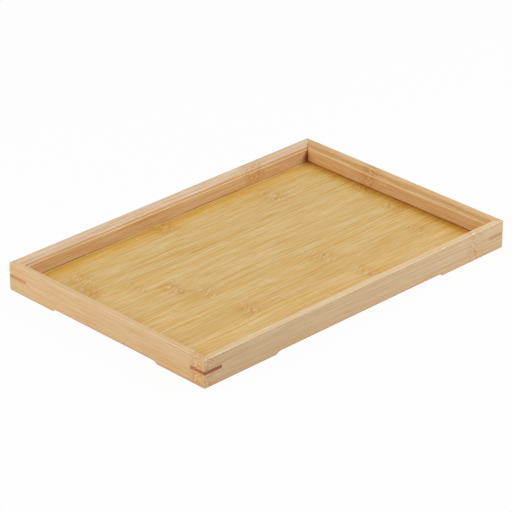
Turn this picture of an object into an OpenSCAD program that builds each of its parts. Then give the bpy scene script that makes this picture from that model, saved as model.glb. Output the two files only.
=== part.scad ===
// Bamboo serving tray: four mitred rails, a key across each corner, and a three-ply floor board in a groove.
// Origin at the middle of the base, +X along the long rails, +Z up.

/* [Tray] */
// Outside length, along the long rails
tray_l = 330; // [240:1:420]
// Outside width, along the short rails
tray_w = 220; // [160:1:300]
// Height from the feet to the top of the rails
tray_h = 23.5; // [21:0.5:60]

/* [Rails] */
// Thickness of each rail
rail_t = 10; // [8:0.1:16]
// Width of the bevel that slopes from the flat top down to the inner wall
bevel_w = 4; // [1:0.1:5]
// Height of that bevel
bevel_drop = 4; // [1:0.1:6]
// Radius of the nose between the bevel and the inner wall
nose_r = 1.2; // [0.2:0.1:2]
// Radius of the outer top edge
top_edge_r = 0.7; // [0.3:0.1:0.9]
// Radius of the outer bottom edge
foot_edge_r = 0.9; // [0.3:0.1:0.9]
// Radius of the upright outer corners
corner_r = 1; // [1:0.1:3]

/* [Feet] */
// Length of each foot along the long rails, from the corner to the relief
foot_l = 72; // [30:1:95]
// Length of each foot along the short rails
foot_w = 50; // [25:1:60]
// Depth of the relief cut under each rail between its feet
relief_d = 2.1; // [0.5:0.1:3]
// Radius that the cutter leaves at each end of the relief
relief_r = 8; // [4:0.5:20]

/* [Corner keys] */
// Thickness of the key and of its slot
key_t = 3; // [1.5:0.1:4]
// Wood between the top of the floor groove and the underside of the key
key_lift = 2.3; // [1:0.1:4]
// Length by which each arm of a key stops short of breaking out at the inner corner
key_web = 2.5; // [1:0.1:5]

/* [Floor] */
// Wood of the rail below the floor board
floor_lift = 4.3; // [3.5:0.1:8]
// Depth of the groove that holds the board
groove_d = 3; // [1.5:0.1:5]
// Gap above the board in its groove, seen as the dark line round the floor
groove_play = 0.4; // [0.1:0.05:0.8]
// Gap between the board's edge and the bottom of the groove
edge_play = 0.2; // [0.1:0.05:0.6]
// Width of a full bamboo strip
strip_w = 20.8; // [16:0.1:30]
// Sideways shift of the face seams from the middle of the board
face_shift = -1.5; // [-4:0.1:4]
// Sideways shift of the back seams
back_shift = 1.2; // [-4:0.1:4]
// Thickness of the face strips
face_ply_t = 1.5; // [0.8:0.1:2.5]
// Thickness of the cross-grain core strips
core_ply_t = 1.2; // [0.8:0.1:2.5]
// Thickness of the back strips
back_ply_t = 1.5; // [0.8:0.1:2.5]

/* [Hidden] */
$fn = 96;
// Length by which every cutter runs past what it cuts
overrun = 1;
// Share of key_web left by each key: along the long rail's face, then along the short rail's face
front_left_web_shares = [1, 1.7];
front_right_web_shares = [1.2, 1.2];
back_left_web_shares = [0.2, 0.2];
back_right_web_shares = [1, 1];

board_t = back_ply_t + core_ply_t + face_ply_t;
board_l = tray_l - 2 * rail_t + 2 * (groove_d - edge_play);
board_w = tray_w - 2 * rail_t + 2 * (groove_d - edge_play);
groove_top = floor_lift + board_t + groove_play;
bevel_angle = atan2(bevel_drop, bevel_w);
nose_reach = nose_r / tan((90 + bevel_angle) / 2);
relief_run = sqrt(2 * relief_r * relief_d - relief_d * relief_d);
key_z = groove_top + key_lift;

face_count = ceil(board_w / strip_w);
core_count = ceil(board_l / strip_w);

rail_tint = [0.86, 0.72, 0.54];
rail_end_tint = [0.83, 0.68, 0.50];
key_tint = [0.60, 0.33, 0.20];
pale_key_tint = [0.76, 0.57, 0.38];
face_tint = [0.84, 0.69, 0.43];
face_warm_tint = [0.80, 0.64, 0.36];
core_tint = [0.78, 0.64, 0.44];

function two_digits(i) = i < 10 ? str("0", i) : str(i);
function strip_names(stem, count) = [for (i = [1 : count]) str(stem, two_digits(i))];
// Place of seam i of count strips across a board, where 0 and count are the board's own edges
function seam(i, count, width, shift) =
    i == 0 ? -width / 2 : i == count ? width / 2 : shift + (i - count / 2) * strip_w;

// What a rounded edge of radius r loses, for an edge at the origin with the body in the first quadrant
module edge_waste(r) {
    difference() {
        translate([-overrun, -overrun]) square(r + overrun);
        translate([r, r]) circle(r);
    }
}

// What the nose loses, between the bevel and the inner wall
module nose_waste() {
    nose = [rail_t, tray_h - bevel_drop];
    centre = nose - [nose_r, nose_reach];
    difference() {
        polygon([
            nose,
            nose - [0, nose_reach],
            centre,
            nose + nose_reach * [-cos(bevel_angle), sin(bevel_angle)]
        ]);
        translate(centre) circle(nose_r);
    }
}

// Section of a rail: outer face on the left at 0, height upwards
module rail_section() {
    difference() {
        polygon([
            [0, 0],
            [rail_t, 0],
            [rail_t, tray_h - bevel_drop],
            [rail_t - bevel_w, tray_h],
            [0, tray_h]
        ]);
        translate([rail_t - groove_d, floor_lift]) square([groove_d + overrun, groove_top - floor_lift]);
        edge_waste(foot_edge_r);
        translate([0, tray_h]) mirror([0, 1]) edge_waste(top_edge_r);
        nose_waste();
    }
}

// Plan of a rail whose outer face lies on the X axis: mitred ends, rounded outer corners
module rail_plan(length) {
    reach = rail_t + overrun;
    difference() {
        polygon([
            [-length / 2 - overrun, -overrun],
            [length / 2 + overrun, -overrun],
            [length / 2 - reach, reach],
            [-length / 2 + reach, reach]
        ]);
        for (side = [-1, 1])
            scale([side, 1]) translate([-length / 2, 0]) edge_waste(corner_r);
    }
}

// Ring that eases the top or bottom edge round an upright corner at the origin
module corner_ring(r) {
    translate([corner_r, corner_r, 0])
        rotate([0, 0, 180])
            rotate_extrude(angle = 90)
                translate([corner_r, 0]) mirror([1, 0]) edge_waste(r);
}

// Outline of a key at an outer corner on the origin, grown by extra past both faces
module key_plan(web_shares, extra) {
    along_x = 2 * rail_t - key_web * web_shares[0];
    along_y = 2 * rail_t - key_web * web_shares[1];
    polygon([
        [-extra, -extra],
        [along_x + extra * along_x / along_y, -extra],
        [-extra, along_y + extra * along_y / along_x]
    ]);
}

module key_slot(web_shares) {
    translate([0, 0, key_z]) linear_extrude(key_t) key_plan(web_shares, overrun);
}

// Relief under a rail, with the cutter's radius at each end
module relief(length, foot) {
    flat = length - 2 * foot - 2 * relief_run;
    translate([0, rail_t + overrun, 0])
        rotate([90, 0, 0])
            linear_extrude(rail_t + 2 * overrun) {
                translate([-flat / 2, -overrun]) square([flat, relief_d + overrun]);
                for (side = [-1, 1])
                    translate([side * flat / 2, relief_d - relief_r]) circle(relief_r);
            }
}

// A rail along X with its outer face at y = 0, left_webs and right_webs being the key shares at its two ends
module rail(length, foot, left_webs, right_webs) {
    difference() {
        intersection() {
            rotate([90, 0, 90])
                translate([0, 0, -length / 2]) linear_extrude(length) rail_section();
            linear_extrude(tray_h) rail_plan(length);
        }
        relief(length, foot);
        translate([-length / 2, 0, 0]) key_slot(left_webs);
        mirror([1, 0, 0]) translate([-length / 2, 0, 0]) key_slot(right_webs);
        for (side = [0, 1])
            mirror([side, 0, 0])
                translate([-length / 2, 0, 0]) {
                    corner_ring(foot_edge_r);
                    translate([0, 0, tray_h]) mirror([0, 0, 1]) corner_ring(top_edge_r);
                }
    }
}

module key(web_shares) {
    translate([0, 0, key_z])
        linear_extrude(key_t)
            difference() {
                key_plan(web_shares, 0);
                edge_waste(corner_r);
            }
}

function swapped(shares) = [shares[1], shares[0]];

module rail_front() {
    color(rail_tint)
        translate([0, -tray_w / 2, 0])
            rail(tray_l, foot_l, front_left_web_shares, front_right_web_shares);
}

module rail_back() {
    color(rail_tint)
        rotate([0, 0, 180])
            translate([0, -tray_w / 2, 0])
                rail(tray_l, foot_l, back_right_web_shares, back_left_web_shares);
}

module rail_left() {
    color(rail_end_tint)
        rotate([0, 0, -90])
            translate([0, -tray_l / 2, 0])
                rail(tray_w, foot_w, swapped(back_left_web_shares), swapped(front_left_web_shares));
}

module rail_right() {
    color(rail_end_tint)
        rotate([0, 0, 90])
            translate([0, -tray_l / 2, 0])
                rail(tray_w, foot_w, swapped(front_right_web_shares), swapped(back_right_web_shares));
}

module key_front_left() {
    color(key_tint)
        translate([-tray_l / 2, -tray_w / 2, 0]) key(front_left_web_shares);
}

module key_front_right() {
    color(pale_key_tint)
        mirror([1, 0, 0]) translate([-tray_l / 2, -tray_w / 2, 0]) key(front_right_web_shares);
}

module key_back_left() {
    color(pale_key_tint)
        mirror([0, 1, 0]) translate([-tray_l / 2, -tray_w / 2, 0]) key(back_left_web_shares);
}

module key_back_right() {
    color(key_tint)
        rotate([0, 0, 180]) translate([-tray_l / 2, -tray_w / 2, 0]) key(back_right_web_shares);
}

// One strip of a ply whose grain runs along X, from seam i - 1 to seam i
module long_strip(i, shift, z, thickness) {
    low = seam(i - 1, face_count, board_w, shift);
    high = seam(i, face_count, board_w, shift);
    translate([-board_l / 2, low, z]) cube([board_l, high - low, thickness]);
}

module back_strip(i) {
    color(face_warm_tint) long_strip(i, back_shift, floor_lift, back_ply_t);
}

module core_strip(i) {
    low = seam(i - 1, core_count, board_l, 0);
    high = seam(i, core_count, board_l, 0);
    color(core_tint)
        translate([low, -board_w / 2, floor_lift + back_ply_t]) cube([high - low, board_w, core_ply_t]);
}

module face_strip(i) {
    color(i % 2 == 0 ? face_tint : face_warm_tint)
        long_strip(i, face_shift, floor_lift + back_ply_t + core_ply_t, face_ply_t);
}

rail_front();
rail_back();
rail_left();
rail_right();
key_front_left();
key_front_right();
key_back_left();
key_back_right();
for (i = [1 : face_count]) face_strip(i);
for (i = [1 : core_count]) core_strip(i);
for (i = [1 : face_count]) back_strip(i);
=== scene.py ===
import math

import bmesh
import bpy
from mathutils import Matrix, Quaternion, Vector


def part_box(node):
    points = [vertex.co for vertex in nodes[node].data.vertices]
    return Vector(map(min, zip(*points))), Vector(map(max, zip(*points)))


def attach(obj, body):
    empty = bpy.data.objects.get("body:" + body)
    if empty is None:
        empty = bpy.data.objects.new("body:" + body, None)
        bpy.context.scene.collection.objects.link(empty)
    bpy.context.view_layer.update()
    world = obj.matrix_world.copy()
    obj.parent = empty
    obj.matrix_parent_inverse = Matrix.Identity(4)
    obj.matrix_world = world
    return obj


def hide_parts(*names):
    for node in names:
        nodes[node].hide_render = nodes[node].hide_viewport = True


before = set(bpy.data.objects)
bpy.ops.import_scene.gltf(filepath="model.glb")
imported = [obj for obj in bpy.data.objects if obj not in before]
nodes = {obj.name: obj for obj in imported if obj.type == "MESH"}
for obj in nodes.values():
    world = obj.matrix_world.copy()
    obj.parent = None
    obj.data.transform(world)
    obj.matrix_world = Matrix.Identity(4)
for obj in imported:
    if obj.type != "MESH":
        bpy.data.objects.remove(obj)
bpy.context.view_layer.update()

MM = 0.001

# Sizes of the rails
BEVEL_W = 4 * MM
BEVEL_DROP = 4 * MM
NOSE_R = 1.2 * MM
RELIEF_D = 2.1 * MM
RELIEF_R = 8 * MM
GROOVE_D = 3 * MM
GROOVE_LOW = 4.3 * MM
GROOVE_TOP = 8.9 * MM
# Upper side of the groove where a rail sits tightly on the floor
CLOSED_TOP = 8.6 * MM
# Lengths of a rail's two feet, from the corner to the relief
FEET = {
    "rail_front": (74.4 * MM, 71.4 * MM),
    "rail_right": (50 * MM, 50 * MM),
    "rail_back": (72 * MM, 72 * MM),
    "rail_left": (50.6 * MM, 51.6 * MM),
}

# Length by which a key's arms stop short of the inner corner, and each key's shares of it along X and Y
KEY_WEB = 2.5 * MM
WEB_SHARES = {
    "key_front_left": (1, 1.7),
    "key_front_right": (1.2, 1.2),
    "key_back_left": (0.2, 0.2),
    "key_back_right": (1, 1),
}

HALF_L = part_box("rail_right")[1].x
HALF_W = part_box("rail_back")[1].y
TRAY_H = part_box("rail_front")[1].z
RAIL_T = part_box("rail_front")[1].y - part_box("rail_front")[0].y

# Rounding of the outer edges and the upright corners
TOP_EDGE_R = 0.25 * MM
FOOT_EDGE_R = 0.4 * MM
CORNER_R = 0.6 * MM
# Heights of the top and bottom rounding at an upright corner, and how far from it they last
CORNER_TOP_R = 1.1 * MM
CORNER_FOOT_R = 1.6 * MM
CORNER_REACH = 3.2 * MM

# Edges eased by the saw and the sander
LIP_EASE = 0.35 * MM
WALL_EASE = 0.2 * MM
RELIEF_EASE = 0.2 * MM
JOINT_EASE = 0.08 * MM
STRIP_EASE = 0.07 * MM
# Height to which the eased end of a foot has risen where the relief starts
RELIEF_RISE = 0.03 * MM
# Width and depth of the gap where the mitres open at the inside
OPEN_MITRE = 0.22 * MM
OPEN_DEPTH = 1.6 * MM
# Length by which the slot cutters run past the outer faces
CUT_PAST = 1 * MM

# Steps of the arcs in a rail's section: the outer edges and the nose, then the lip and the inner bottom edge,
# and then the edges of the groove
EDGE_STEPS = 5
EASE_STEPS = 3
WALL_STEPS = 2
MITRE_ANGLE = math.radians(45)
# A rail's end rings turn from the mitre, at share 0, to a square section, at share 1. The first ones fan out
# round the upright corner up to a share of this turn, and the others stand at the shares that follow.
FAN_STEPS = 5
FAN_SHARE = 0.1
END_SHARES = (0.16, 0.24, 0.34, 0.5, 1)
# Sections along the curve that the cutter leaves at each end of the relief
RELIEF_STEPS = 8

# Angles in degrees from which an edge is sharp, and from which a strip's or key's edge is eased
SHARP_ANGLE = 30
EASED_ANGLE = 50
# Distance within which two points of a strip or key are one
WELD_GAP = 0.001 * MM


# Meshes


def smooth(value):
    """0 up to 0, 1 from 1 on, and a smooth rise between."""
    value = min(1, max(0, value))
    return value * value * (3 - 2 * value)


def arc(centre, radii, start, end, steps):
    """Points on an elliptical arc between two angles in degrees."""
    points = []
    for i in range(steps + 1):
        angle = math.radians(start + (end - start) * i / steps)
        points.append((centre[0] + radii[0] * math.cos(angle), centre[1] + radii[1] * math.sin(angle)))
    return points


def rail_section(groove_top, bottom, edge_d, edge_z, top_z=TOP_EDGE_R):
    """Closed outline of a rail as (depth, height) points, up the outer face first.

    groove_top is the upper side of the floor groove and bottom the height of the underside. edge_d and
    edge_z are the radii of the outer bottom edge, and top_z is the height of the outer top edge's rounding.
    """
    slope = math.degrees(math.atan2(BEVEL_DROP, BEVEL_W))
    lip = RAIL_T - BEVEL_W
    lip_run = LIP_EASE * math.tan(math.radians(slope / 2))
    nose_run = NOSE_R / math.tan(math.radians(90 + slope) / 2)
    nose_centre = (RAIL_T - NOSE_R, TRAY_H - BEVEL_DROP - nose_run)
    wall_easing = (WALL_EASE, WALL_EASE)
    relief_easing = (RELIEF_EASE, RELIEF_EASE)

    points = arc((edge_d, bottom + edge_z), (edge_d, edge_z), 270, 180, EDGE_STEPS)
    points += arc((TOP_EDGE_R, TRAY_H - top_z), (TOP_EDGE_R, top_z), 180, 90, EDGE_STEPS)
    points.append((CORNER_R, TRAY_H))
    points += arc((lip - lip_run, TRAY_H - LIP_EASE), (LIP_EASE, LIP_EASE), 90, 90 - slope, EASE_STEPS)
    points += arc(nose_centre, (NOSE_R, NOSE_R), 90 - slope, 0, EDGE_STEPS)
    points.append((RAIL_T, TRAY_H - 2 * BEVEL_DROP))
    points += arc((RAIL_T - WALL_EASE, groove_top + WALL_EASE), wall_easing, 0, -90, WALL_STEPS)
    points.append((RAIL_T - OPEN_DEPTH, groove_top))
    points.append((RAIL_T - GROOVE_D, groove_top))
    points.append((RAIL_T - GROOVE_D, GROOVE_LOW))
    points += arc((RAIL_T - WALL_EASE, GROOVE_LOW - WALL_EASE), wall_easing, 90, 0, WALL_STEPS)
    points += arc((RAIL_T - RELIEF_EASE, bottom + RELIEF_EASE), relief_easing, 0, -90, EASE_STEPS)
    points.append((CORNER_R, bottom))
    return points


def shrunk(points, by):
    """The outline moved inwards by a small distance."""
    result = []
    for i, point in enumerate(points):
        before = Vector(points[i - 1])
        after = Vector(points[(i + 1) % len(points)])
        along = (after - before).normalized()
        result.append((point[0] + along.y * by, point[1] - along.x * by))
    return result


def end_point(half, angle, share, past_fan, depth, height):
    """The point of an end ring at -half that stands for this depth and height of the section.

    angle is what is left of the turn round the upright corner, and past_fan is the way past that turn.
    """
    if depth >= CORNER_R:
        inside = smooth(1 - (RAIL_T - depth) / OPEN_DEPTH)
        below_nose = smooth((TRAY_H - BEVEL_DROP - height) / BEVEL_DROP)
        opened = OPEN_MITRE * inside * below_nose * (1 - share)
        return (-half + depth + share * (RAIL_T - depth) + opened, depth, height)
    inward = CORNER_R - depth
    x = -half + CORNER_R - inward * math.sin(angle) + past_fan
    return (x, CORNER_R - inward * math.cos(angle), height)


def end_rings(half, groove_top):
    """The rings from the mitre at -half to the first square section, each a list of points."""
    rings = []
    turns = [i / FAN_STEPS for i in range(FAN_STEPS + 1)]
    fan = [(MITRE_ANGLE * (1 - turn), FAN_SHARE * turn) for turn in turns]
    for angle, share in fan + [(0, share) for share in END_SHARES]:
        past_fan = max(0, (share - FAN_SHARE) / (1 - FAN_SHARE)) * (RAIL_T - CORNER_R)
        from_corner = CORNER_R * (MITRE_ANGLE - angle) + past_fan
        rounder = smooth(1 - from_corner / CORNER_REACH)
        edge_z = FOOT_EDGE_R + (CORNER_FOOT_R - FOOT_EDGE_R) * rounder
        top_z = TOP_EDGE_R + (CORNER_TOP_R - TOP_EDGE_R) * rounder
        section = rail_section(groove_top, 0, FOOT_EDGE_R, edge_z, top_z)
        ring = [end_point(half, angle, share, past_fan, *point) for point in section]
        if not rings:
            eased = shrunk(section, JOINT_EASE)
            rings.append([end_point(half, angle, share, past_fan, *point) for point in eased])
            ring = [(x + JOINT_EASE, y, z) for x, y, z in ring]
        rings.append(ring)
    return rings


def relief_stations(half, foot):
    """(place, height of the underside) along one end of the relief, from the foot to the flat."""
    run = math.sqrt(2 * RELIEF_R * RELIEF_D - RELIEF_D * RELIEF_D)
    flat_end = half - foot - run
    places = [(half - foot + RELIEF_EASE, 0), (half - foot, RELIEF_RISE)]
    for i in range(1, RELIEF_STEPS + 1):
        from_flat = run * (1 - i / RELIEF_STEPS)
        places.append((flat_end + from_flat, RELIEF_D - RELIEF_R + math.sqrt(RELIEF_R**2 - from_flat**2)))
    return [(-place, height) for place, height in places]


def as_object(name, mesh_data):
    """The mesh as an object of the scene, its faces turned outwards."""
    bmesh.ops.recalc_face_normals(mesh_data, faces=mesh_data.faces)
    mesh = bpy.data.meshes.new(name)
    mesh_data.to_mesh(mesh)
    mesh_data.free()
    result = bpy.data.objects.new(name, mesh)
    bpy.context.scene.collection.objects.link(result)
    return result


def rail_mesh(name, half, feet, turn, half_span, groove_top):
    """One rail, swept along X and turned about Z so that its outer face lies half_span from the middle."""
    ends = end_rings(half, groove_top)
    rings = list(ends)
    first_end, second_end = (relief_stations(half, foot) for foot in feet)
    for place, bottom in first_end + [(-x, z) for x, z in reversed(second_end)]:
        edge = FOOT_EDGE_R + (RELIEF_EASE - FOOT_EDGE_R) * bottom / RELIEF_D
        rings.append([(place, d, z) for d, z in rail_section(groove_top, bottom, edge, edge)])
    rings += [[(-x, y, z) for x, y, z in ring] for ring in reversed(ends)]

    mesh_data = bmesh.new()
    matrix = Matrix.Rotation(turn, 4, "Z") @ Matrix.Translation((0, -half_span, 0))
    verts = [[mesh_data.verts.new(matrix @ Vector(point)) for point in ring] for ring in rings]
    count = len(verts[0])
    for ring, following in zip(verts, verts[1:]):
        for i in range(count):
            j = (i + 1) % count
            mesh_data.faces.new((ring[i], following[i], following[j], ring[j]))
    mesh_data.faces.new(verts[0])
    mesh_data.faces.new(list(reversed(verts[-1])))
    return as_object(name, mesh_data)


def slot_cutter(key):
    """The saw slot of a key, a triangle in plan that runs past both outer faces."""
    lowest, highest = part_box(key)
    side_x = math.copysign(1, lowest.x + highest.x)
    side_y = math.copysign(1, lowest.y + highest.y)
    share_x, share_y = WEB_SHARES[key]
    along_x = 2 * RAIL_T - KEY_WEB * share_x
    along_y = 2 * RAIL_T - KEY_WEB * share_y
    plan = [
        (-CUT_PAST, -CUT_PAST),
        (along_x + CUT_PAST * along_x / along_y, -CUT_PAST),
        (-CUT_PAST, along_y + CUT_PAST * along_y / along_x),
    ]
    mesh_data = bmesh.new()
    rings = []
    for z in (lowest.z, highest.z):
        corners = [(side_x * (HALF_L - x), side_y * (HALF_W - y), z) for x, y in plan]
        rings.append([mesh_data.verts.new(corner) for corner in corners])
    for i in range(3):
        j = (i + 1) % 3
        mesh_data.faces.new((rings[0][i], rings[0][j], rings[1][j], rings[1][i]))
    mesh_data.faces.new(rings[0])
    mesh_data.faces.new(rings[1])
    return as_object("slot_cutter", mesh_data)


def cut_slots(piece, keys):
    """Cuts the slots of the named keys out of a rail, for good."""
    cutters = [slot_cutter(key) for key in keys]
    for cutter in cutters:
        cut = piece.modifiers.new("slot", "BOOLEAN")
        cut.operation = "DIFFERENCE"
        cut.solver = "EXACT"
        cut.object = cutter
    bpy.context.view_layer.update()
    evaluated = piece.evaluated_get(bpy.context.evaluated_depsgraph_get())
    mesh = bpy.data.meshes.new_from_object(evaluated)
    mesh.name = piece.name
    piece.modifiers.clear()
    piece.data = mesh
    for cutter in cutters:
        bpy.data.objects.remove(cutter)


def shade(piece):
    """Smooth shading between sharp edges, with flat faces kept flat."""
    piece.data.shade_smooth()
    piece.data.set_sharp_from_angle(angle=math.radians(SHARP_ANGLE))
    normals = piece.modifiers.new("face normals", "WEIGHTED_NORMAL")
    normals.keep_sharp = True


def ease_edges(part):
    """Hair-wide bevels on a strip or a key."""
    weld = part.modifiers.new("weld", "WELD")
    weld.merge_threshold = WELD_GAP
    ease = part.modifiers.new("ease", "BEVEL")
    ease.width = STRIP_EASE
    ease.segments = 2
    ease.limit_method = "ANGLE"
    ease.angle_limit = math.radians(EASED_ANGLE)


# Half length, turn about Z, distance from the middle, upper side of the groove, and the keys at the two ends
RAILS = {
    "rail_front": (HALF_L, 0, HALF_W, CLOSED_TOP, ("key_front_left", "key_front_right")),
    "rail_right": (HALF_W, math.pi / 2, HALF_L, GROOVE_TOP, ("key_front_right", "key_back_right")),
    "rail_back": (HALF_L, math.pi, HALF_W, CLOSED_TOP, ("key_back_right", "key_back_left")),
    "rail_left": (HALF_W, -math.pi / 2, HALF_L, GROOVE_TOP, ("key_back_left", "key_front_left")),
}

rails = {}
for node, (half, turn, half_span, groove_top, keys) in RAILS.items():
    rail = rail_mesh(node.replace("rail_", "bamboo_rail_"), half, FEET[node], turn, half_span, groove_top)
    cut_slots(rail, keys)
    shade(rail)
    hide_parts(node)
    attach(rail, "root")
    rails[node] = rail

for name, part in nodes.items():
    if "strip" in name or name.startswith("key"):
        ease_edges(part)


# Materials


class Graph:
    """The node tree of a new material or world, with short calls for the nodes that the scene needs."""

    def __init__(self, owner):
        owner.use_nodes = True
        self.tree = owner.node_tree

    def put(self, socket, value):
        """Links another node's output to the socket, or sets the socket to a number or a colour."""
        if isinstance(value, bpy.types.NodeSocket):
            self.tree.links.new(value, socket)
        elif isinstance(value, (tuple, list)) and len(value) == 3 and socket.type == "RGBA":
            socket.default_value = (*value, 1)
        else:
            socket.default_value = value

    def math(self, operation, *values):
        node = self.tree.nodes.new("ShaderNodeMath")
        node.operation = operation
        for socket, value in zip(node.inputs, values):
            self.put(socket, value)
        return node.outputs[0]

    def add(self, first, *others):
        for other in others:
            first = self.math("ADD", first, other)
        return first

    def times(self, a, b):
        return self.math("MULTIPLY", a, b)

    def minus(self, a, b):
        return self.math("SUBTRACT", a, b)

    def largest(self, first, *others):
        for other in others:
            first = self.math("MAXIMUM", first, other)
        return first

    def distance(self, a, b):
        return self.math("ABSOLUTE", self.minus(a, b))

    def vector(self, x, y, z):
        node = self.tree.nodes.new("ShaderNodeCombineXYZ")
        for socket, value in zip(node.inputs, (x, y, z)):
            self.put(socket, value)
        return node.outputs[0]

    def noise(self, vector, detail=2, roughness=0.5, distortion=0):
        node = self.tree.nodes.new("ShaderNodeTexNoise")
        self.put(node.inputs["Vector"], vector)
        self.put(node.inputs["Scale"], 1)
        self.put(node.inputs["Detail"], detail)
        self.put(node.inputs["Roughness"], roughness)
        self.put(node.inputs["Distortion"], distortion)
        return node.outputs[0]

    def stretched(self, coordinates, scales, detail=2, roughness=0.5, distortion=0):
        """Noise with a scale of its own along each coordinate."""
        vector = self.vector(*(self.times(value, scale) for value, scale in zip(coordinates, scales)))
        return self.noise(vector, detail, roughness, distortion)

    def centred(self, noise):
        """A noise, which lies round 0.5, shifted to lie round 0."""
        return self.minus(noise, 0.5)

    def swing(self, noise, reach):
        """A noise that lies round 0, this many times as strong."""
        return self.times(self.centred(noise), reach)

    def step(self, value, start, end, low=0, high=1):
        """Goes smoothly from low at start to high at end."""
        node = self.tree.nodes.new("ShaderNodeMapRange")
        node.interpolation_type = "SMOOTHSTEP"
        for socket, number in zip(node.inputs, (value, start, end, low, high)):
            self.put(socket, number)
        return node.outputs[0]

    def mix(self, factor, a, b, blend="MIX"):
        """Blends two colours, which are the node's inputs 6 and 7."""
        node = self.tree.nodes.new("ShaderNodeMix")
        node.data_type = "RGBA"
        node.blend_type = blend
        self.put(node.inputs[0], factor)
        self.put(node.inputs[6], a)
        self.put(node.inputs[7], b)
        return node.outputs[2]

    def tinted(self, colour, tint):
        return self.mix(1, colour, tint, "MULTIPLY")

    def towards(self, factor, colour, tint):
        """The colour at factor 0, and its product with the tint at factor 1."""
        return self.mix(factor, colour, self.tinted(colour, tint))

    def ramp(self, factor, stops):
        """The colour at this factor between stops of (factor, display colour)."""
        node = self.tree.nodes.new("ShaderNodeValToRGB")
        elements = node.color_ramp.elements
        while len(elements) < len(stops):
            elements.new(0.5)
        for element, (place, colour) in zip(elements, stops):
            element.position = place
            element.color = (*linear(*colour), 1)
        self.put(node.inputs[0], factor)
        return node.outputs[0]

    def place(self):
        """The three coordinates in millimetres."""
        node = self.tree.nodes.new("ShaderNodeTexCoord")
        split = self.tree.nodes.new("ShaderNodeSeparateXYZ")
        self.put(split.inputs[0], node.outputs["Object"])
        return [self.times(output, 1 / MM) for output in split.outputs]

    def shows_background(self):
        """1 for a ray that comes from the camera, a gloss or something clear, and 0 for one that lights."""
        rays = self.tree.nodes.new("ShaderNodeLightPath").outputs
        return self.largest(rays["Is Camera Ray"], rays["Is Glossy Ray"], rays["Is Transmission Ray"])

    def blend_shaders(self, factor, first, second):
        node = self.tree.nodes.new("ShaderNodeMixShader")
        for socket, value in zip(node.inputs, (factor, first, second)):
            self.put(socket, value)
        return node.outputs[0]


class Surface(Graph):
    """The node tree of a new material with one Principled shader."""

    def __init__(self, name):
        self.material = bpy.data.materials.new(name)
        super().__init__(self.material)
        self.shader = self.tree.nodes["Principled BSDF"]

    def set_look(self, colour, roughness, relief, bump_strength):
        """Sets the colour, the roughness and a fine relief."""
        bump = self.tree.nodes.new("ShaderNodeBump")
        self.put(bump.inputs["Height"], relief)
        bump.inputs["Strength"].default_value = bump_strength
        bump.inputs["Distance"].default_value = BUMP_DEPTH
        self.put(self.shader.inputs["Base Color"], colour)
        self.put(self.shader.inputs["Roughness"], roughness)
        self.put(self.shader.inputs["Normal"], bump.outputs[0])


def linear(red, green, blue):
    """A display colour from 0 to 255 as the shader's linear colour."""
    result = []
    for value in (red, green, blue):
        value /= 255
        result.append(value / 12.92 if value <= 0.04045 else ((value + 0.055) / 1.055) ** 2.4)
    return tuple(result)


def scaled(colour, by):
    return tuple(value * factor for value, factor in zip(colour, by))


def set_material(part, material):
    part.data.materials.clear()
    part.data.materials.append(material)


BUMP_DEPTH = 0.03 * MM
BAMBOO_BUMP = 0.2
BAMBOO_SPECULAR = 0.3

# The lengths of the materials from here on are in millimetres, and their noise scales are per millimetre.
# A pair whose name ends in SPAN says where something begins and where it is full.

# Tints of the darkest and the lightest fibres
RAIL_FIBRES = ((0.92, 0.785, 0.60), (1.055, 1.14, 1.26))
BOARD_FIBRES = ((0.91, 0.74, 0.36), (1.065, 1.155, 1.56))
FIBRE_ROUGHNESS = 0.55
# Noise values at which dark dashes, pale fibres and deep fibres show
DASH_SPAN = (0.60, 0.74)
PALE_SPAN = (0.60, 0.66)
DEEP_SPAN = (0.59, 0.65)
# What the fibres add to the tone, which is 0 for the darkest tint and 1 for the lightest
MIDDLE_TONE = 0.5
STREAK_TONE = 3.6
FINE_TONE = 3.6
DASH_TONE = -0.3
PALE_TONE = 0.6
DEEP_TONE = -0.6
# What they add to the roughness and to the relief
STREAK_ROUGHNESS = 0.08
FINE_RELIEF = 0.6
STREAK_RELIEF = 0.8
DASH_RELIEF = -0.4
# Slow wander of the fibres: noise scales along, across and up, and its reach sideways
DRIFT_SCALES = (0.006, 0.1, 0.1)
DRIFT_REACH = 1.6

# Tints of a node scar's halo and of the painted glints on its bright strokes
MARK_TINT = (0.91, 0.825, 0.70)
GLINT_TINT = (1.08, 1.15, 1.28)
# Bend of the fibres in a node scar: noise scales along, across and up, and its reach sideways
BEND_SCALES = (0.2, 0.2, 0.2)
BEND_REACH = 5
# Waviness of a scar's line across the fibres: its noise scale, and its reach as a share of the half width
WOBBLE_SCALE = 0.2
WOBBLE_SHARE = 1.4
# Where a scar's halo and strokes begin and are full: distances from its middle, as shares of its half width
HALO_SHARES = (2.8, 0.2)
STROKE_SHARES = (1.1, 0.3)
# Height over which a scar that ends on the outer face fades out
SCAR_FADE = 2
# Lean of the strokes along and across the fibres, and the scales and the distortion of their noise
STROKE_LEAN = (0.95, 0.32)
STROKE_SCALES = (0.16, 1.15, 0.7)
STROKE_DISTORTION = 0.2
# Noise values between which a stroke goes from dark to light, its tones there, and where its painted glint
# starts
STROKE_SPAN = (0.41, 0.58)
STROKE_TONES = (-0.85, 1.15)
GLINT_SPAN = (0.55, 0.60)


def scar_strength(graph, distance, half_width, shares, strength):
    """A scar's halo or strokes, falling off with the distance from its middle."""
    begins, full = (share * half_width for share in shares)
    return graph.times(graph.step(distance, begins, full), strength)


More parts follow.
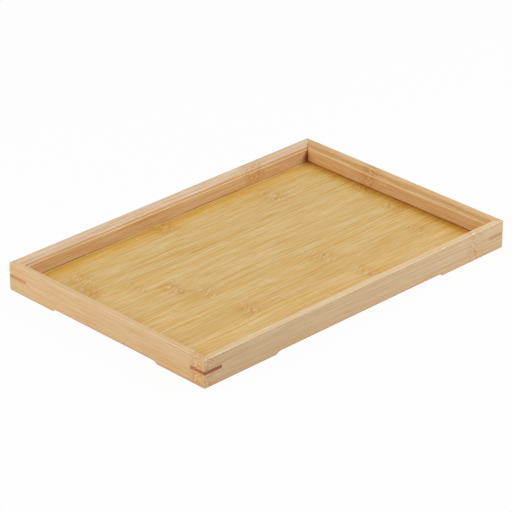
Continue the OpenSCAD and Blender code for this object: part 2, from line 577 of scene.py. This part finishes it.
def node_scars(graph, marks, length, cross, z, seed):
    """The halos, the strokes' strength and the strokes' noise of all the node scars of a piece."""
    up = graph.add(z, seed)
    wobble = graph.noise(graph.vector(graph.times(cross, WOBBLE_SCALE), graph.times(up, WOBBLE_SCALE), seed))
    halo = 0
    scar = 0
    for place, half_width, strength, *top in marks:
        if top:
            strength = graph.step(z, top[0], top[0] - SCAR_FADE, 0, strength)
        middle = graph.add(place, graph.swing(wobble, WOBBLE_SHARE * half_width))
        away = graph.distance(length, middle)
        halo = graph.add(halo, scar_strength(graph, away, half_width, HALO_SHARES, strength))
        scar = graph.add(scar, scar_strength(graph, away, half_width, STROKE_SHARES, strength))
    lean, rise = STROKE_LEAN
    slant = graph.add(graph.times(length, lean), graph.times(cross, rise))
    over = graph.minus(graph.times(cross, lean), graph.times(length, rise))
    ripple = graph.stretched((slant, over, up), STROKE_SCALES, detail=1, distortion=STROKE_DISTORTION)
    return halo, scar, ripple


def bamboo(
    name,
    along,
    base,
    fibre_tints,
    marks=(),
    seed=0,
    grain=0.7,
    reach=1.0,
    bands=1.0,
    contrast=1,
    roughness=0.45,
    shadow=None,
    shade_tint=None,
):
    """Bamboo whose fibres run along X or Y.

    base is a colour, or a function of the graph, the three coordinates and the broad fibres that gives one.
    fibre_tints multiply it in the darkest and the lightest fibres. Each mark is the scar of a culm's node:
    its place along the fibres, its half width, its strength and, where it ends lower down, its top. grain is
    the width of the main fibres, reach scales their length, and bands is the strength of the broad ones.
    contrast is a number, or a function of the graph and the coordinates that gives one. shadow is such a
    function too: it gives how far the colour goes towards its product with shade_tint.
    """
    graph = Surface(name)
    x, y, z = graph.place()
    length, cross = (x, y) if along == "X" else (y, x)
    up = graph.add(z, seed)
    drift = graph.stretched((length, cross, up), DRIFT_SCALES, detail=1)
    cross = graph.add(cross, graph.swing(drift, DRIFT_REACH))
    if marks:
        halo, scar, ripple = node_scars(graph, marks, length, cross, z, seed)
        bend = graph.stretched((length, cross, up), BEND_SCALES)
        cross = graph.add(cross, graph.times(halo, graph.swing(bend, BEND_REACH)))

    def fibres(long, wide, detail, shift):
        """Noise in fibres of about this length and width, the shift telling one kind from another."""
        at_length = graph.times(length, 1 / (reach * long))
        at_cross = graph.times(cross, 1 / wide)
        at_height = graph.add(graph.times(z, 1 / wide), seed + shift)
        return graph.noise(graph.vector(at_length, at_cross, at_height), detail, FIBRE_ROUGHNESS)

    broad = fibres(long=110, wide=3.4 * grain, detail=1, shift=0)
    streaks = fibres(long=70, wide=grain, detail=2, shift=11)
    fine = fibres(long=30, wide=0.5, detail=2, shift=23)
    dashes = graph.step(fibres(long=12, wide=0.45, detail=1, shift=37), *DASH_SPAN)
    pale = graph.step(fibres(long=80, wide=0.8 * grain, detail=1, shift=53), *PALE_SPAN)
    deep = graph.step(fibres(long=60, wide=0.75 * grain, detail=1, shift=71), *DEEP_SPAN)

    fibre_tone = graph.add(
        graph.swing(broad, bands),
        graph.swing(streaks, STREAK_TONE),
        graph.swing(fine, FINE_TONE),
        graph.times(dashes, DASH_TONE),
        graph.times(pale, PALE_TONE),
        graph.times(deep, DEEP_TONE),
    )
    if callable(contrast):
        contrast = contrast(graph, x, y, z)
    tone = graph.add(MIDDLE_TONE, graph.times(fibre_tone, contrast))
    if marks:
        tone = graph.add(tone, graph.times(scar, graph.step(ripple, *STROKE_SPAN, *STROKE_TONES)))
    colour = base(graph, x, y, z, graph.centred(broad)) if callable(base) else base
    colour = graph.mix(tone, *(graph.tinted(colour, tint) for tint in fibre_tints))
    if marks:
        colour = graph.towards(halo, colour, MARK_TINT)
        # Painted glints on the scars' bright strokes
        colour = graph.towards(graph.times(scar, graph.step(ripple, *GLINT_SPAN)), colour, GLINT_TINT)
    if shadow:
        colour = graph.towards(shadow(graph, x, y, z), colour, shade_tint)
    roughness = graph.add(roughness, graph.swing(streaks, STREAK_ROUGHNESS))
    relief = graph.add(
        graph.times(fine, FINE_RELIEF),
        graph.times(streaks, STREAK_RELIEF),
        graph.times(dashes, DASH_RELIEF),
    )
    graph.set_look(colour, roughness, relief, BAMBOO_BUMP)
    graph.shader.inputs["Specular IOR Level"].default_value = BAMBOO_SPECULAR
    return graph.material


def from_edge(graph, coordinate, half):
    """Distance inwards from the faces that lie half from the middle, in millimetres."""
    return graph.minus(half / MM, graph.math("ABSOLUTE", coordinate))


# Place along X where the floor fits tightly under the long rails, and distances from it
TIGHT_MIDDLE = -38
TIGHT_SPAN = (65, 30)

# Tint of the deepest shade on a rail. The strength of a shade is how far the colour goes towards it.
RAIL_SHADE = (0.52, 0.20, 0.04)
# Shade above the floor: heights over the groove's top, and its loss where the floor fits tightly
JOINT_SPAN = (0.5, 0.1)
TIGHT_LOSS = 0.7
# Shade in the inner corners: how far it reaches from the other rail at two heights
CORNER_HEIGHTS = (19, 12.5)
CORNER_REACHES = (1.5, 8)
# Depths in the rail for both of them
WALL_SPAN = (8.6, 9.4)
# Shade towards the right end of the long rails: depths in the rail, places along X, and strength
INNER_SPAN = (6.0, 6.6)
FAR_END_SPAN = (70, 125)
FAR_END_SHADE = 0.14
# Painted shade of a thin gap along the inner mitres: depths in the rail, distances from the mitre, and
# strength
MITRE_FACE_SPAN = (6.2, 6.8)
MITRE_SPAN = (0.5, 0.1)
MITRE_SHADE = 0.8
# Shade on the outer bottom edge: depths in the rail, heights over the underside, and strength
EDGE_FACE_SPAN = (0.9, 0.5)
EDGE_SPAN = (1.5, 0.5)
EDGE_SHADE = 0.3
# Length over which this shade follows the underside up from a foot to the relief
EDGE_RUN = 5


def tightness(graph, x):
    """1 where the floor fits tightly under the long rails, a little left of the middle, and 0 elsewhere."""
    return graph.step(graph.distance(x, TIGHT_MIDDLE), *TIGHT_SPAN)


def rail_shadow(node, along, joint_shade, corner_shade):
    """Darkening of a rail at the floor, the inner corners, the inner mitres and the outer bottom edge.

    joint_shade and corner_shade are the strengths at the floor and in the corners. The inner sides of the
    long rails are also a little darker towards the right end.
    """
    mean_foot = sum(FEET[node]) / len(FEET[node]) / MM
    half_length, half_span = (HALF_L, HALF_W) if along == "X" else (HALF_W, HALF_L)
    joint_start, joint_full = (GROOVE_TOP / MM + height for height in JOINT_SPAN)

    def shadow(graph, x, y, z):
        length, across = (x, y) if along == "X" else (y, x)
        depth = from_edge(graph, across, half_span)
        from_end = from_edge(graph, length, half_length)

        joint = graph.step(z, joint_start, joint_full, 0, joint_shade)
        if along == "X":
            joint = graph.times(joint, graph.minus(1, graph.times(tightness(graph, x), TIGHT_LOSS)))
        reach = graph.step(z, *CORNER_HEIGHTS, *CORNER_REACHES)
        share_of_reach = graph.math("DIVIDE", graph.minus(from_end, RAIL_T / MM), reach)
        corner = graph.step(share_of_reach, 1, 0, 0, corner_shade)
        wall = graph.times(graph.step(depth, *WALL_SPAN), graph.largest(joint, corner))
        if along == "X":
            far_end = graph.step(x, *FAR_END_SPAN, 0, FAR_END_SHADE)
            wall = graph.largest(wall, graph.times(graph.step(depth, *INNER_SPAN), far_end))

        mitre = graph.step(graph.distance(from_end, depth), *MITRE_SPAN, 0, MITRE_SHADE)
        mitre = graph.times(graph.step(depth, *MITRE_FACE_SPAN), mitre)

        underside = graph.step(from_end, mean_foot, mean_foot + EDGE_RUN, 0, RELIEF_D / MM)
        edge = graph.step(graph.minus(z, underside), *EDGE_SPAN, 0, EDGE_SHADE)
        edge = graph.times(graph.step(depth, *EDGE_FACE_SPAN), edge)
        return graph.largest(wall, mitre, edge)

    return shadow


# Warmer tint low on the outer faces: heights, depths in the rail, and the places along X where it fades in
LOW_TINT = (1.0, 0.98, 0.93)
LOW_SPAN = (14, 6)
LOW_FACE_SPAN = (5, 1)
LOW_END_SPAN = (140, 115)
# Share of the thickness by which the broad fibres shift the colours of a rail
WANDER_SHARE = 0.02
# Depths at which the fibres' strength goes over from that of the outer face to that of the other sides
INWARD_SPAN = (0.2, 1.2)


def rail_depth(graph, along, x, y):
    """Distance inwards from the outer face of a rail, in millimetres."""
    return from_edge(graph, y, HALF_W) if along == "X" else from_edge(graph, x, HALF_L)


def by_depth(along, stops):
    """The base colour of a rail through its thickness, with the painted highlights and sheen of its stops, a
    little warmer low on the outer face.

    stops are (share of the thickness, display colour).
    """

    def base(graph, x, y, z, wander):
        depth = rail_depth(graph, along, x, y)
        share = graph.add(graph.times(depth, MM / RAIL_T), graph.times(wander, WANDER_SHARE))
        low_face = graph.times(graph.step(z, *LOW_SPAN), graph.step(depth, *LOW_FACE_SPAN))
        low = graph.times(low_face, graph.step(x, *LOW_END_SPAN))
        return graph.towards(low, graph.ramp(share, stops), LOW_TINT)

    return base


def by_side(along, outside, inside):
    """The strength of a rail's fibres on its outer face and on its other sides."""

    def contrast(graph, x, y, z):
        return graph.step(rail_depth(graph, along, x, y), *INWARD_SPAN, outside, inside)

    return contrast


# Display colours of the rails' tops. The long rails' paler tops are partly a painted sheen, partly the wood's
# own tone.
FRONT_TOP = (223, 197, 158)
BACK_TOP = (223, 195, 161)
LEFT_TOP = (219, 185, 140)
RIGHT_TOP = (213, 179, 131)
# Display colours of the rails from the outer face inwards, each at a share of the thickness. The bright stops
# just inside the outer face of the front and left rails are a painted highlight on the rounded top edge, and
# the bright stops just before the wall of the back and right rails a painted highlight along the nose. The
# long rails' greyer outer faces and the pale bands on their bevels are partly a painted sheen, partly the
# wood's own tone.
RAIL_STOPS_WITH_HIGHLIGHTS = {
    "rail_front": [
        (0.004, (208, 180, 143)),
        (0.02, (234, 211, 176)),
        (0.10, FRONT_TOP),
        (0.575, FRONT_TOP),
        (0.59, (211, 170, 124)),
        (0.62, (220, 191, 163)),
        (0.90, (203, 157, 101)),
        (0.975, (223, 190, 147)),
    ],
    "rail_back": [
        (0.03, (198, 168, 132)),
        (0.10, BACK_TOP),
        (0.575, BACK_TOP),
        (0.59, (210, 168, 122)),
        (0.62, (221, 194, 166)),
        (0.72, (216, 189, 161)),
        (0.79, (221, 194, 170)),
        (0.83, (213, 180, 142)),
        (0.865, (203, 157, 88)),
        (0.91, (202, 155, 81)),
        (0.95, (210, 169, 114)),
        (0.985, (231, 209, 165)),
        (0.995, (212, 175, 129)),
    ],
    "rail_left": [
        (0.004, (223, 187, 140)),
        (0.02, (234, 207, 170)),
        (0.10, LEFT_TOP),
        (0.54, LEFT_TOP),
        (0.76, (201, 154, 100)),
        (0.96, (222, 187, 135)),
    ],
    "rail_right": [
        (0.03, (207, 166, 120)),
        (0.10, RIGHT_TOP),
        (0.54, RIGHT_TOP),
        (0.60, (212, 175, 122)),
        (0.66, (213, 166, 107)),
        (0.76, (204, 153, 92)),
        (0.83, (212, 171, 115)),
        (0.88, (212, 175, 119)),
        (0.93, (224, 190, 136)),
        (0.97, (229, 192, 134)),
        (0.997, (218, 176, 123)),
    ],
}
# Node scars of the rails: place, half width and strength of each, and the top of those low on the outer face
RAIL_MARKS = {
    "rail_front": [(132, 5.5, 0.6), (-162, 5, 0.7), (-66, 5, 0.9, 5), (75, 7, 0.6, 5)],
    "rail_back": [(92, 6, 1.3), (-33, 4, 0.3)],
    "rail_left": [(-102, 4, 1.3)],
    "rail_right": [(29.5, 5, 1.2)],
}
# Strength of the broad fibres, of all fibres outside and of all inside, and the scale of their length
RAIL_GRAIN = {
    "rail_front": (0.3, 0.84, 0.52, 2.0),
    "rail_back": (0.1, 1.2, 3.4, 1.4),
    "rail_left": (0.8, 0.54, 0.44, 0.75),
    "rail_right": (0.2, 1.2, 1.25, 0.8),
}
# Direction of the fibres, and the strength of the shade at the floor and in the corners
RAIL_SHADES = {
    "rail_front": ("X", 0.78, 0.9),
    "rail_back": ("X", 0.78, 0.9),
    "rail_left": ("Y", 0.6, 0.05),
    "rail_right": ("Y", 0.6, 0.05),
}
RAIL_SEED_STEP = 31.7

for index, (node, rail) in enumerate(rails.items()):
    bands, outside, inside, reach = RAIL_GRAIN[node]
    along, joint_shade, corner_shade = RAIL_SHADES[node]
    rail_bamboo = bamboo(
        rail.name,
        along,
        by_depth(along, RAIL_STOPS_WITH_HIGHLIGHTS[node]),
        RAIL_FIBRES,
        RAIL_MARKS[node],
        seed=RAIL_SEED_STEP * index,
        grain=0.5,
        reach=reach,
        bands=bands,
        contrast=by_side(along, outside, inside),
        roughness=0.5,
        shadow=rail_shadow(node, along, joint_shade, corner_shade),
        shade_tint=RAIL_SHADE,
    )
    set_material(rail, rail_bamboo)


# Painted warm reflection of the rails on the floor, as a tint: distances from the rails, and its strength
# beside the back and the front rail
RAIL_REFLECTION_TINT = (1.03, 0.945, 0.50)
REFLECTION_SHORT_SPAN = (18, 3)
REFLECTION_BACK_SPAN = (18, 4)
REFLECTION_BACK = 0.85
REFLECTION_FRONT_SPAN = (12, 2)
REFLECTION_FRONT = 0.4
# Painted line of light on the floor at the back rail, paler still where the floor fits tightly: distances
# from the rail
PAINTED_LIGHT_LINE_TINT = (1.20, 1.40, 2.1)
LIGHT_LINE_SPAN = (2.8, 0.4)
TIGHT_LIGHT_TINT = (1.0, 1.10, 1.6)
TIGHT_LIGHT_SPAN = (1, 0.2)
# Tint of the floor's shade, which has a wide and a narrow part: distances from a short rail, and strength
FLOOR_SHADE = (0.80, 0.53, 0.30)
WIDE_SPAN = (9, 0)
WIDE_SHADE = 0.62
NARROW_SPAN = (2, 0)
NARROW_SHADE = 0.4


def floor_base_with_painted_light(tint):
    """The floor's base colour: this tint, with a painted warm reflection towards the rails and a painted line
    of light at the back rail's foot.
    """

    def base(graph, x, y, z, wander):
        inner_face = (HALF_W - RAIL_T) / MM
        from_back = graph.minus(inner_face, y)
        by_short = graph.step(from_edge(graph, x, HALF_L - RAIL_T), *REFLECTION_SHORT_SPAN)
        by_back = graph.step(from_back, *REFLECTION_BACK_SPAN, 0, REFLECTION_BACK)
        by_front = graph.step(graph.add(inner_face, y), *REFLECTION_FRONT_SPAN, 0, REFLECTION_FRONT)
        # Painted reflection of the warm rails on the floor
        reflection_share = graph.largest(by_short, graph.add(by_back, by_front))
        reflected = graph.mix(reflection_share, tint, scaled(tint, RAIL_REFLECTION_TINT))
        # Painted light along the back rail's foot
        colour = graph.towards(graph.step(from_back, *LIGHT_LINE_SPAN), reflected, PAINTED_LIGHT_LINE_TINT)
        tight_light = graph.times(graph.step(from_back, *TIGHT_LIGHT_SPAN), tightness(graph, x))
        return graph.towards(tight_light, colour, TIGHT_LIGHT_TINT)

    return base


def floor_shadow(graph, x, y, z):
    """Darkening of the floor close to the short rails."""
    from_short = from_edge(graph, x, HALF_L - RAIL_T)
    wide = graph.step(from_short, *WIDE_SPAN, 0, WIDE_SHADE)
    narrow = graph.step(from_short, *NARROW_SPAN, 0, NARROW_SHADE)
    return graph.add(wide, narrow)


# Display colours of the floor's three plies
FACE_TINT = (213, 181, 115)
BACK_TINT = (206, 163, 98)
CORE_TINT = (198, 160, 105)
# Brightness of each face strip, and the share of blue that it keeps
FACE_SHARES = (
    (1.01, 1.03),
    (1.02, 0.945),
    (0.97, 0.89),
    (1.005, 1.0),
    (0.99, 0.99),
    (0.995, 0.99),
    (1.015, 1.015),
    (0.98, 0.99),
    (1.005, 1.025),
    (1.005, 0.95),
)
# Power of that share with which green follows blue
GREEN_POWER = 0.4
# Node scars of each face strip: place, half width and strength
FACE_MARKS = {
    1: [(-110, 5, 0.8), (96, 5, 0.8)],
    2: [(43.7, 4.5, 0.9)],
    3: [(-64, 6, 0.75), (125.4, 5, 0.7)],
    4: [(39, 7, 0.8)],
    5: [(-70.5, 7, 0.55), (144.9, 5, 1.1)],
    6: [(-83.5, 4, 1.1)],
    7: [(-105, 4, 0.6), (151.5, 5, 1.2)],
    8: [(-133.6, 5, 0.9)],
    9: [(-124.4, 6.5, 0.8), (85.4, 7, 0.85)],
    10: [(-17.6, 6, 1.2)],
}
# A back strip has two scars. The place of the first one steps round a range from strip to strip.
BACK_FIRST = -150
BACK_RANGE = 200
BACK_STEP = 83
SCAR_SPACING = 190
# Half width and strength of these scars
BACK_MARK = (6, 0.8)

STRIP_SEED_STEP = 5.3
BACK_SEED = 200
CORE_SEED = 400


def face_bamboo(name, index):
    """Long-grain bamboo of the floor's upper side."""
    brightness, blue = FACE_SHARES[index - 1]
    tint = scaled(linear(*FACE_TINT), (brightness, brightness * blue**GREEN_POWER, brightness * blue))
    return bamboo(
        name,
        "X",
        floor_base_with_painted_light(tint),
        BOARD_FIBRES,
        FACE_MARKS[index],
        seed=STRIP_SEED_STEP * index,
        grain=0.6,
        reach=0.9,
        bands=0.4,
        contrast=1.25,
        roughness=0.5,
        shadow=floor_shadow,
        shade_tint=FLOOR_SHADE,
    )


def back_bamboo(name, index):
    """Long-grain bamboo of the floor's underside."""
    first = BACK_FIRST + (index * BACK_STEP) % BACK_RANGE
    marks = [(first, *BACK_MARK), (first + SCAR_SPACING, *BACK_MARK)]
    seed = BACK_SEED + STRIP_SEED_STEP * index
    return bamboo(name, "X", linear(*BACK_TINT), BOARD_FIBRES, marks, seed=seed)


def core_bamboo(name, index):
    """Cross-grain bamboo inside the floor."""
    seed = CORE_SEED + STRIP_SEED_STEP * index
    return bamboo(name, "Y", linear(*CORE_TINT), BOARD_FIBRES, seed=seed, roughness=0.6)


STRIP_BAMBOO = {"face_strip": face_bamboo, "back_strip": back_bamboo, "core_strip": core_bamboo}
for name, part in nodes.items():
    stem, _, number = name.rpartition("_")
    if stem in STRIP_BAMBOO:
        set_material(part, STRIP_BAMBOO[stem](name, int(number)))


# Display colours of each key at the end of its X arm, in the middle and at the end of its Y arm
KEY_COLOURS = {
    "key_front_left": ((152, 87, 46), (173, 99, 47), (190, 126, 50)),
    "key_front_right": ((193, 152, 101), (194, 150, 100), (198, 152, 100)),
    "key_back_left": ((203, 144, 86), (203, 145, 86), (206, 152, 95)),
    "key_back_right": ((160, 92, 64), (168, 98, 62), (178, 110, 68)),
}
# Tints of the darkest and the lightest grain
KEY_FIBRES = ((0.72, 0.66, 0.6), (1.2, 1.2, 1.2))
KEY_BUMP = 0.25
# Width over which a key's colour changes, and the shares of it between which the middle colour goes over to
# that of the X arm
KEY_BLEND_W = 36
MIDDLE_SHARE = 0.46
X_ARM_SHARE = 0.54
# Noise scales across the corner, out from it and up, and the noise values at which a pore shows
KEY_GRAIN_SCALES = (0.12, 0.9, 1.3)
KEY_GRAIN_ROUGHNESS = 0.6
KEY_PORE_SCALES = (0.5, 3, 4)
PORE_SPAN = (0.6, 0.72)
# Tone and roughness of a key without grain, and what the grain and the pores add to them and to the relief
KEY_TONE = 0.1
GRAIN_TONE = 0.8
PORE_TONE = -0.25
KEY_ROUGHNESS = 0.4
GRAIN_ROUGHNESS = 0.15
PORE_RELIEF = -0.5


def key_wood(name, end_x, middle, end_y):
    """Hardwood of a key, its colour changing across the corner from one arm to the other."""
    graph = Surface(name)
    x, y, z = graph.place()
    from_x = from_edge(graph, x, HALF_L)
    from_y = from_edge(graph, y, HALF_W)
    across = graph.minus(from_x, from_y)
    run = graph.add(from_x, from_y)
    share = graph.times(graph.add(across, KEY_BLEND_W / 2), 1 / KEY_BLEND_W)
    colour = graph.ramp(share, [(0, end_y), (MIDDLE_SHARE, middle), (X_ARM_SHARE, end_x), (1, end_x)])
    grain = graph.stretched((across, run, z), KEY_GRAIN_SCALES, detail=3, roughness=KEY_GRAIN_ROUGHNESS)
    pores = graph.step(graph.stretched((across, run, z), KEY_PORE_SCALES, detail=1), *PORE_SPAN)
    tone = graph.add(KEY_TONE, graph.times(grain, GRAIN_TONE), graph.times(pores, PORE_TONE))
    colour = graph.mix(tone, *(graph.tinted(colour, tint) for tint in KEY_FIBRES))
    roughness = graph.add(KEY_ROUGHNESS, graph.times(grain, GRAIN_ROUGHNESS))
    relief = graph.add(grain, graph.times(pores, PORE_RELIEF))
    graph.set_look(colour, roughness, relief, KEY_BUMP)
    return graph.material


for name, colours in KEY_COLOURS.items():
    set_material(nodes[name], key_wood(name, *colours))


# Ground, light and camera

WHITE = (1, 1, 1)
# The ground's size in metres, and its gap under the feet
GROUND_SIZE = 12
GROUND_DROP = 0.1 * MM
GROUND_GREYS = ((0.80, 0.80, 0.80), (0.82, 0.82, 0.82))
GROUND_ROUGHNESS = 0.7
# Share of the ground's look that is plain white, the rest being its lit and shadowed surface
GROUND_GLOW = 0.95
# Strength of the light from all round
DOME_STRENGTH = 0.38


def ground_surface():
    """Pale ground that shows as near white and keeps the shadow."""
    graph = Surface("ground")
    blotches = graph.noise(graph.vector(*graph.place()), detail=1)
    graph.put(graph.shader.inputs["Base Color"], graph.mix(blotches, *GROUND_GREYS))
    graph.put(graph.shader.inputs["Roughness"], GROUND_ROUGHNESS)
    glow = graph.tree.nodes.new("ShaderNodeEmission")
    graph.put(glow.inputs["Color"], WHITE)
    factor = graph.times(graph.shows_background(), GROUND_GLOW)
    look = graph.blend_shaders(factor, graph.shader.outputs[0], glow.outputs[0])
    graph.put(graph.tree.nodes["Material Output"].inputs["Surface"], look)
    return graph.material


def light_studio():
    """Soft light from all round, in front of a white backdrop."""
    world = bpy.data.worlds.new("studio")
    bpy.context.scene.world = world
    graph = Graph(world)
    dome = graph.tree.nodes["Background"]
    backdrop = graph.tree.nodes.new("ShaderNodeBackground")
    for node, strength in ((dome, DOME_STRENGTH), (backdrop, 1)):
        graph.put(node.inputs["Color"], WHITE)
        graph.put(node.inputs["Strength"], strength)
    look = graph.blend_shaders(graph.shows_background(), dome.outputs[0], backdrop.outputs[0])
    graph.put(graph.tree.nodes["World Output"].inputs["Surface"], look)


def softbox(name, place, size, watts):
    """A square lamp at this place, aimed at the middle of the tray."""
    lamp = bpy.data.lights.new(name, "AREA")
    lamp.shape = "SQUARE"
    lamp.size = size
    lamp.energy = watts
    holder = bpy.data.objects.new(name, lamp)
    holder.location = place
    holder.rotation_euler = (-Vector(place)).to_track_quat("-Z", "Y").to_euler()
    bpy.context.scene.collection.objects.link(holder)


bpy.ops.mesh.primitive_plane_add(size=GROUND_SIZE, location=(0, 0, -GROUND_DROP))
ground = bpy.context.object
ground.name = "ground"
set_material(ground, ground_surface())

light_studio()
softbox("softbox_left", place=(-1.1, 0.45, 0.9), size=0.8, watts=10.6)
softbox("softbox_right", place=(0.7, -0.8, 0.75), size=0.7, watts=9.7)

# The camera's place in metres, the way it looks and its roll in degrees
CAMERA_PLACE = (-1.44392, -1.46094, 1.05904)
CAMERA_LOOK = (0.62517, 0.63438, -0.45467)
CAMERA_ROLL = 0.1255
# Its focal length and the image's width in pixels, its sensor's width in millimetres and its range in metres
FOCAL_PIXELS = 2920.5
IMAGE_WIDTH = 512
SENSOR = 36
CAMERA_RANGE = 50

camera_data = bpy.data.cameras.new("camera")
camera_data.sensor_width = SENSOR
camera_data.lens = FOCAL_PIXELS * SENSOR / IMAGE_WIDTH
camera_data.clip_end = CAMERA_RANGE
camera = bpy.data.objects.new("camera", camera_data)
camera.location = CAMERA_PLACE
camera.rotation_mode = "QUATERNION"
roll = Quaternion((0, 0, 1), math.radians(CAMERA_ROLL))
camera.rotation_quaternion = Vector(CAMERA_LOOK).to_track_quat("-Z", "Y") @ roll
bpy.context.scene.collection.objects.link(camera)
bpy.context.scene.camera = camera

bpy.context.scene.view_settings.view_transform = "Standard"
